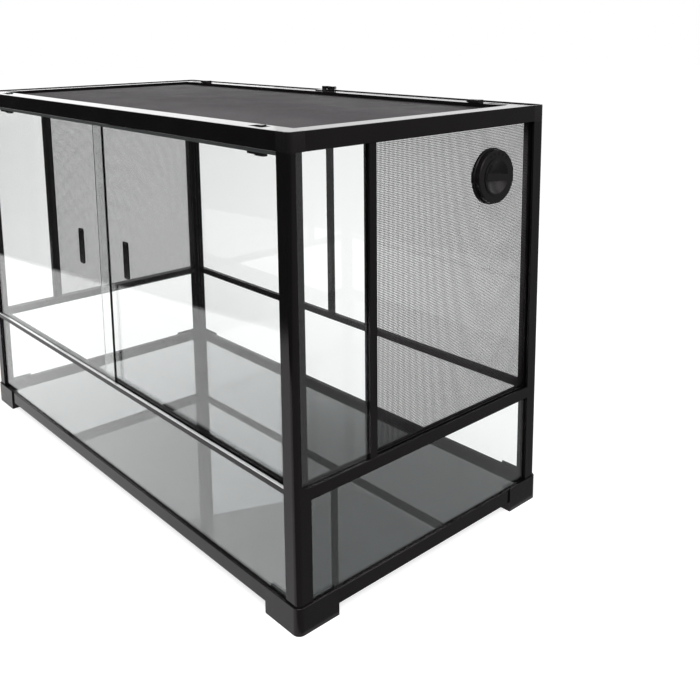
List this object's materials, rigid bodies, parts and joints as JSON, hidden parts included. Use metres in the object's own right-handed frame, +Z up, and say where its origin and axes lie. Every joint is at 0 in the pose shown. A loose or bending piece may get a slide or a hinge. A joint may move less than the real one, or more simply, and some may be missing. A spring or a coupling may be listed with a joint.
{
  "type": "hamster cage",
  "caption": "Glass and mesh small-animal cage on a black bar frame, with sliding front doors, a hinged mesh lid and a twist-capped tube port in one end.",
  "frame": {"origin": "on the ground under the middle of the cage", "axes": "+X along the length to the right as seen from the doors, the doors face -Y, +Z up"},
  "size_m": [1.005, 0.505, 0.6564],
  "materials": {
    "black_bar": "black satin coat",
    "black_moulding": "fine moulded grain",
    "track_plastic": "satin",
    "clear_glass": "clear float glass with green edges",
    "floor_glass": "dark-backed gloss glass",
    "black_mesh": "black coated woven wire",
    "bright_metal": "bright drawn",
    "steel": "zinc plated"
  },
  "bodies": {
    "frame": {"back_base_rail": "black_bar", "back_left_foot": "black_moulding", "back_left_post": "black_bar", "back_left_top_corner": "black_moulding", "back_lower_glass": "clear_glass", "back_mid_rail": "black_bar", "back_mullion": "black_bar", "back_right_foot": "black_moulding", "back_right_post": "black_bar", "back_right_top_corner": "black_moulding", "back_top_rail": "black_bar", "door_track": "track_plastic", "floor_panel": "floor_glass", "foot_screws": "steel", "front_base_rail": "black_bar", "front_left_foot": "black_moulding", "front_left_post": "black_bar", "front_left_top_corner": "black_moulding", "front_lower_glass": "clear_glass", "front_mid_rail": "black_bar", "front_right_foot": "black_moulding", "front_right_post": "black_bar", "front_right_top_corner": "black_moulding", "front_top_rail": "black_bar", "left_back_glass": "clear_glass", "left_base_rail": "black_bar", "left_end_glass": "clear_glass", "left_end_mesh": "black_mesh", "left_lower_glass": "clear_glass", "left_mid_rail": "black_bar", "left_mullion": "black_bar", "left_top_rail": "black_bar", "lid_hinge_leaf": "black_bar", "lid_hinge_pin": "steel", "lid_strikes": "black_moulding", "port_flange": "black_moulding", "port_nut": "black_moulding", "right_back_glass": "clear_glass", "right_base_rail": "black_bar", "right_end_glass": "clear_glass", "right_end_mesh": "black_mesh", "right_lower_glass": "clear_glass", "right_mid_rail": "black_bar", "right_mullion": "black_bar", "right_top_rail": "black_bar", "sill_trim": "bright_metal"},
    "left_door": {"left_door_glass": "clear_glass", "left_door_pull": "black_moulding"},
    "right_door": {"right_door_glass": "clear_glass", "right_door_pull": "black_moulding"},
    "lid": {"lid_frame": "black_bar", "lid_mesh": "black_mesh", "lid_hinge_strap": "black_bar"},
    "left_latch": {"left_lid_latch": "black_moulding"},
    "right_latch": {"right_lid_latch": "black_moulding"},
    "left_gate": {"left_inlet_gate": "black_moulding"},
    "right_gate": {"right_inlet_gate": "black_moulding"},
    "port_cap": {"port_cap": "black_moulding"}
  },
  "joints": [
    {"name": "left_door_slide", "type": "slide", "parent": "frame", "child": "left_door", "axis": [1, 0, 0], "range_m": [0, 0.46]},
    {"name": "right_door_slide", "type": "slide", "parent": "frame", "child": "right_door", "axis": [-1, 0, 0], "range_m": [0, 0.46]},
    {"name": "lid_hinge", "type": "hinge", "parent": "frame", "child": "lid", "pos_m": [0, 0.2475, 0.6534], "axis": [-1, 0, 0], "range_deg": [0, 100]},
    {"name": "left_latch_slide", "type": "slide", "parent": "lid", "child": "left_latch", "axis": [0, -1, 0], "range_m": [0, 0.005]},
    {"name": "left_gate_slide", "type": "slide", "parent": "lid", "child": "left_gate", "axis": [-1, 0, 0], "range_m": [0, 0.036]},
    {"name": "right_latch_slide", "type": "slide", "parent": "lid", "child": "right_latch", "axis": [0, -1, 0], "range_m": [0, 0.005]},
    {"name": "right_gate_slide", "type": "slide", "parent": "lid", "child": "right_gate", "axis": [1, 0, 0], "range_m": [0, 0.036]},
    {"name": "port_cap_turn", "type": "hinge", "parent": "frame", "child": "port_cap", "pos_m": [0.49, 0.136, 0.551], "axis": [1, 0, 0], "range_deg": [0, 90]}
  ]
}
